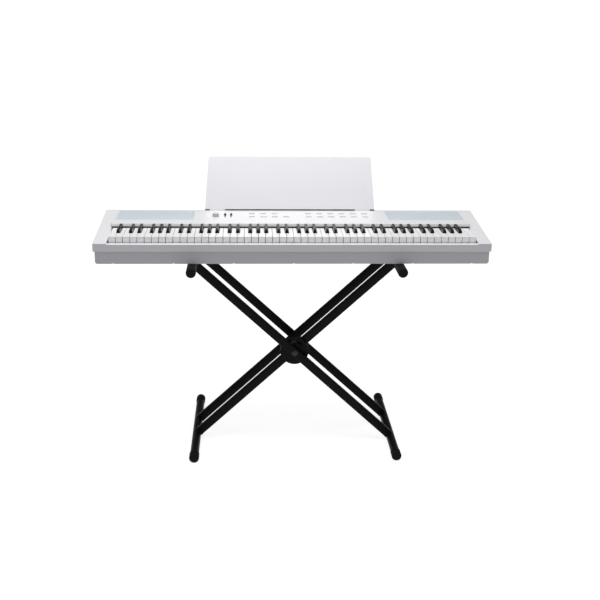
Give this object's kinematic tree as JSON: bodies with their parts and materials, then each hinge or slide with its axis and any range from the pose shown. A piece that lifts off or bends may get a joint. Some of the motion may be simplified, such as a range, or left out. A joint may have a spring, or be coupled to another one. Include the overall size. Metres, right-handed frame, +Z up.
{
  "type": "digital piano on stand",
  "caption": "Slab digital piano with full-size weighted-style keys, panel controls, grilles and a music rest, on a folding double-braced X stand.",
  "frame": {"origin": "on the floor under the middle of the whole object", "axes": "+X to the treble end, +Y from the player to the back, +Z up"},
  "size_m": [1.322, 0.53, 0.9739],
  "materials": {
    "shell_white": "satin white",
    "case_underside": "satin grey-white",
    "white_key": "gloss",
    "black_key": "gloss",
    "grille_mesh": "satin perforated",
    "control_grey": "satin",
    "slider_dark": "satin",
    "rest_plastic": "satin",
    "frame_black": "powder coat",
    "rubber_black": "matte",
    "bolt_steel": "black oxide",
    "chassis_steel": "plain",
    "circuit_board": "solder mask",
    "speaker_black": "matte"
  },
  "bodies": {
    "right_foot": {"foot_right": "frame_black"},
    "outer_legs": {"leg_outer_front": "frame_black", "leg_outer_rear": "frame_black", "arm_left": "frame_black", "pivot_bolt": "bolt_steel", "hub_disc": "frame_black"},
    "inner_legs": {"leg_inner_front": "frame_black", "leg_inner_rear": "frame_black", "arm_right": "frame_black", "arm_pad_right": "rubber_black", "foot_left": "frame_black"},
    "lock_pin": {"lock_knob": "rubber_black"},
    "left_cradle": {"arm_pad_left": "rubber_black"},
    "piano": {"bottom_case": "case_underside", "top_case": "shell_white", "fallboard": "shell_white", "keybed": "chassis_steel", "main_board": "circuit_board", "speaker_left": "speaker_black", "speaker_right": "speaker_black", "grille_left": "grille_mesh", "grille_right": "grille_mesh"},
    "music_rest": {"music_rest": "rest_plastic"},
    "volume_knob": {"volume_knob": "control_grey"},
    "slider_1": {"slider_1": "slider_dark"},
    "slider_2": {"slider_2": "slider_dark"},
    "white_key_bank": {"white_keys": "white_key"},
    "black_key_bank": {"black_keys": "black_key"},
    "key_c4": {"key_c4": "white_key"},
    "key_d4": {"key_d4": "white_key"},
    "key_e4": {"key_e4": "white_key"},
    "key_f4": {"key_f4": "white_key"},
    "key_g4": {"key_g4": "white_key"},
    "key_a4": {"key_a4": "white_key"},
    "key_b4": {"key_b4": "white_key"},
    "key_c4_sharp": {"key_c4_sharp": "black_key"},
    "key_d4_sharp": {"key_d4_sharp": "black_key"},
    "key_f4_sharp": {"key_f4_sharp": "black_key"},
    "key_g4_sharp": {"key_g4_sharp": "black_key"},
    "key_a4_sharp": {"key_a4_sharp": "black_key"},
    "button_left_rear_1": {"button_left_rear_1": "control_grey"},
    "button_left_rear_2": {"button_left_rear_2": "control_grey"},
    "button_left_rear_3": {"button_left_rear_3": "control_grey"},
    "button_left_front_1": {"button_left_front_1": "control_grey"},
    "button_left_front_2": {"button_left_front_2": "control_grey"},
    "button_left_front_3": {"button_left_front_3": "control_grey"},
    "button_left_front_4": {"button_left_front_4": "control_grey"},
    "button_right_rear_1": {"button_right_rear_1": "control_grey"},
    "button_right_rear_2": {"button_right_rear_2": "control_grey"},
    "button_right_rear_3": {"button_right_rear_3": "control_grey"},
    "button_right_rear_4": {"button_right_rear_4": "control_grey"},
    "button_right_rear_5": {"button_right_rear_5": "control_grey"},
    "button_right_rear_6": {"button_right_rear_6": "control_grey"},
    "button_right_front_1": {"button_right_front_1": "control_grey"},
    "button_right_front_2": {"button_right_front_2": "control_grey"},
    "button_right_front_3": {"button_right_front_3": "control_grey"},
    "button_right_front_4": {"button_right_front_4": "control_grey"},
    "button_right_front_5": {"button_right_front_5": "control_grey"},
    "button_right_front_6": {"button_right_front_6": "control_grey"}
  },
  "joints": [
    {"name": "stand_fold", "type": "hinge", "parent": "right_foot", "child": "outer_legs", "pos_m": [0.35889, 0, 0.0166], "axis": [0, 1, 0], "range_deg": [0, 43]},
    {"name": "inner_leg_turn", "type": "hinge", "parent": "outer_legs", "child": "inner_legs", "pos_m": [0.01, 0, 0.33967], "axis": [0, 1, 0], "range_deg": [-86, 0]},
    {"name": "cradle_level", "type": "hinge", "parent": "outer_legs", "child": "left_cradle", "pos_m": [-0.33889, 0, 0.66275], "axis": [0, 1, 0], "range_deg": [-43, 0]},
    {"name": "piano_lift", "type": "slide", "parent": "left_cradle", "child": "piano", "axis": [0, 0, 1], "range_m": [0, 0.15]},
    {"name": "lock_pull", "type": "slide", "parent": "inner_legs", "child": "lock_pin", "axis": [0, 1, 0], "range_m": [0, 0.009], "stiffness_N_per_m": 900, "springref_m": -0.006},
    {"name": "music_rest_lift", "type": "slide", "parent": "piano", "child": "music_rest", "axis": [0, 0.309, 0.9511], "range_m": [0, 0.05]},
    {"name": "volume_turn", "type": "hinge", "parent": "piano", "child": "volume_knob", "pos_m": [-0.266, 0.08795, 0.78397], "axis": [0, -0.0316, 0.9995], "range_deg": [-150, 150]},
    {"name": "slider_1_slide", "type": "slide", "parent": "piano", "child": "slider_1", "axis": [0, 0.9995, 0.0316], "range_m": [-0.022, 0.022]},
    {"name": "slider_2_slide", "type": "slide", "parent": "piano", "child": "slider_2", "axis": [0, 0.9995, 0.0316], "range_m": [-0.022, 0.022]},
    {"name": "button_left_rear_1_press", "type": "slide", "parent": "piano", "child": "button_left_rear_1", "axis": [0, 0.0316, -0.9995], "range_m": [0, 0.0012], "stiffness_N_per_m": 700, "springref_m": -0.001},
    {"name": "button_left_rear_2_press", "type": "slide", "parent": "piano", "child": "button_left_rear_2", "axis": [0, 0.0316, -0.9995], "range_m": [0, 0.0012], "stiffness_N_per_m": 700, "springref_m": -0.001},
    {"name": "button_left_rear_3_press", "type": "slide", "parent": "piano", "child": "button_left_rear_3", "axis": [0, 0.0316, -0.9995], "range_m": [0, 0.0012], "stiffness_N_per_m": 700, "springref_m": -0.001},
    {"name": "button_left_front_1_press", "type": "slide", "parent": "piano", "child": "button_left_front_1", "axis": [0, 0.0316, -0.9995], "range_m": [0, 0.0012], "stiffness_N_per_m": 700, "springref_m": -0.001},
    {"name": "button_left_front_2_press", "type": "slide", "parent": "piano", "child": "button_left_front_2", "axis": [0, 0.0316, -0.9995], "range_m": [0, 0.0012], "stiffness_N_per_m": 700, "springref_m": -0.001},
    {"name": "button_left_front_3_press", "type": "slide", "parent": "piano", "child": "button_left_front_3", "axis": [0, 0.0316, -0.9995], "range_m": [0, 0.0012], "stiffness_N_per_m": 700, "springref_m": -0.001},
    {"name": "button_left_front_4_press", "type": "slide", "parent": "piano", "child": "button_left_front_4", "axis": [0, 0.0316, -0.9995], "range_m": [0, 0.0012], "stiffness_N_per_m": 700, "springref_m": -0.001},
    {"name": "button_right_rear_1_press", "type": "slide", "parent": "piano", "child": "button_right_rear_1", "axis": [0, 0.0316, -0.9995], "range_m": [0, 0.0012], "stiffness_N_per_m": 700, "springref_m": -0.001},
    {"name": "button_right_rear_2_press", "type": "slide", "parent": "piano", "child": "button_right_rear_2", "axis": [0, 0.0316, -0.9995], "range_m": [0, 0.0012], "stiffness_N_per_m": 700, "springref_m": -0.001},
    {"name": "button_right_rear_3_press", "type": "slide", "parent": "piano", "child": "button_right_rear_3", "axis": [0, 0.0316, -0.9995], "range_m": [0, 0.0012], "stiffness_N_per_m": 700, "springref_m": -0.001},
    {"name": "button_right_rear_4_press", "type": "slide", "parent": "piano", "child": "button_right_rear_4", "axis": [0, 0.0316, -0.9995], "range_m": [0, 0.0012], "stiffness_N_per_m": 700, "springref_m": -0.001},
    {"name": "button_right_rear_5_press", "type": "slide", "parent": "piano", "child": "button_right_rear_5", "axis": [0, 0.0316, -0.9995], "range_m": [0, 0.0012], "stiffness_N_per_m": 700, "springref_m": -0.001},
    {"name": "button_right_rear_6_press", "type": "slide", "parent": "piano", "child": "button_right_rear_6", "axis": [0, 0.0316, -0.9995], "range_m": [0, 0.0012], "stiffness_N_per_m": 700, "springref_m": -0.001},
    {"name": "button_right_front_1_press", "type": "slide", "parent": "piano", "child": "button_right_front_1", "axis": [0, 0.0316, -0.9995], "range_m": [0, 0.0012], "stiffness_N_per_m": 700, "springref_m": -0.001},
    {"name": "button_right_front_2_press", "type": "slide", "parent": "piano", "child": "button_right_front_2", "axis": [0, 0.0316, -0.9995], "range_m": [0, 0.0012], "stiffness_N_per_m": 700, "springref_m": -0.001},
    {"name": "button_right_front_3_press", "type": "slide", "parent": "piano", "child": "button_right_front_3", "axis": [0, 0.0316, -0.9995], "range_m": [0, 0.0012], "stiffness_N_per_m": 700, "springref_m": -0.001},
    {"name": "button_right_front_4_press", "type": "slide", "parent": "piano", "child": "button_right_front_4", "axis": [0, 0.0316, -0.9995], "range_m": [0, 0.0012], "stiffness_N_per_m": 700, "springref_m": -0.001},
    {"name": "button_right_front_5_press", "type": "slide", "parent": "piano", "child": "button_right_front_5", "axis": [0, 0.0316, -0.9995], "range_m": [0, 0.0012], "stiffness_N_per_m": 700, "springref_m": -0.001},
    {"name": "button_right_front_6_press", "type": "slide", "parent": "piano", "child": "button_right_front_6", "axis": [0, 0.0316, -0.9995], "range_m": [0, 0.0012], "stiffness_N_per_m": 700, "springref_m": -0.001},
    {"name": "key_c4_press", "type": "hinge", "parent": "piano", "child": "key_c4", "pos_m": [0, 0.063, 0.74695], "axis": [1, 0, 0], "range_deg": [0, 2.6], "stiffness_Nm_per_rad": 4, "springref_deg": -5.16},
    {"name": "key_d4_press", "type": "hinge", "parent": "piano", "child": "key_d4", "pos_m": [0, 0.063, 0.74695], "axis": [1, 0, 0], "range_deg": [0, 2.6], "stiffness_Nm_per_rad": 4, "springref_deg": -5.16},
    {"name": "key_e4_press", "type": "hinge", "parent": "piano", "child": "key_e4", "pos_m": [0, 0.063, 0.74695], "axis": [1, 0, 0], "range_deg": [0, 2.6], "stiffness_Nm_per_rad": 4, "springref_deg": -5.16},
    {"name": "key_f4_press", "type": "hinge", "parent": "piano", "child": "key_f4", "pos_m": [0, 0.063, 0.74695], "axis": [1, 0, 0], "range_deg": [0, 2.6], "stiffness_Nm_per_rad": 4, "springref_deg": -5.16},
    {"name": "key_g4_press", "type": "hinge", "parent": "piano", "child": "key_g4", "pos_m": [0, 0.063, 0.74695], "axis": [1, 0, 0], "range_deg": [0, 2.6], "stiffness_Nm_per_rad": 4, "springref_deg": -5.16},
    {"name": "key_a4_press", "type": "hinge", "parent": "piano", "child": "key_a4", "pos_m": [0, 0.063, 0.74695], "axis": [1, 0, 0], "range_deg": [0, 2.6], "stiffness_Nm_per_rad": 4, "springref_deg": -5.16},
    {"name": "key_b4_press", "type": "hinge", "parent": "piano", "child": "key_b4", "pos_m": [0, 0.063, 0.74695], "axis": [1, 0, 0], "range_deg": [0, 2.6], "stiffness_Nm_per_rad": 4, "springref_deg": -5.16},
    {"name": "key_c4_sharp_press", "type": "hinge", "parent": "piano", "child": "key_c4_sharp", "pos_m": [0, 0.063, 0.74695], "axis": [1, 0, 0], "range_deg": [0, 2.6], "stiffness_Nm_per_rad": 4, "springref_deg": -5.16},
    {"name": "key_d4_sharp_press", "type": "hinge", "parent": "piano", "child": "key_d4_sharp", "pos_m": [0, 0.063, 0.74695], "axis": [1, 0, 0], "range_deg": [0, 2.6], "stiffness_Nm_per_rad": 4, "springref_deg": -5.16},
    {"name": "key_f4_sharp_press", "type": "hinge", "parent": "piano", "child": "key_f4_sharp", "pos_m": [0, 0.063, 0.74695], "axis": [1, 0, 0], "range_deg": [0, 2.6], "stiffness_Nm_per_rad": 4, "springref_deg": -5.16},
    {"name": "key_g4_sharp_press", "type": "hinge", "parent": "piano", "child": "key_g4_sharp", "pos_m": [0, 0.063, 0.74695], "axis": [1, 0, 0], "range_deg": [0, 2.6], "stiffness_Nm_per_rad": 4, "springref_deg": -5.16},
    {"name": "key_a4_sharp_press", "type": "hinge", "parent": "piano", "child": "key_a4_sharp", "pos_m": [0, 0.063, 0.74695], "axis": [1, 0, 0], "range_deg": [0, 2.6], "stiffness_Nm_per_rad": 4, "springref_deg": -5.16},
    {"name": "white_key_bank_press", "type": "hinge", "parent": "piano", "child": "white_key_bank", "pos_m": [0, 0.063, 0.74695], "axis": [1, 0, 0], "range_deg": [0, 2.6], "stiffness_Nm_per_rad": 100, "springref_deg": -6.88},
    {"name": "black_key_bank_press", "type": "hinge", "parent": "piano", "child": "black_key_bank", "pos_m": [0, 0.063, 0.74695], "axis": [1, 0, 0], "range_deg": [0, 2.6], "stiffness_Nm_per_rad": 60, "springref_deg": -6.88}
  ],
  "couplings": [
    {"joint": "inner_leg_turn", "follows": "stand_fold", "ratio": -2},
    {"joint": "cradle_level", "follows": "stand_fold", "ratio": -1}
  ]
}
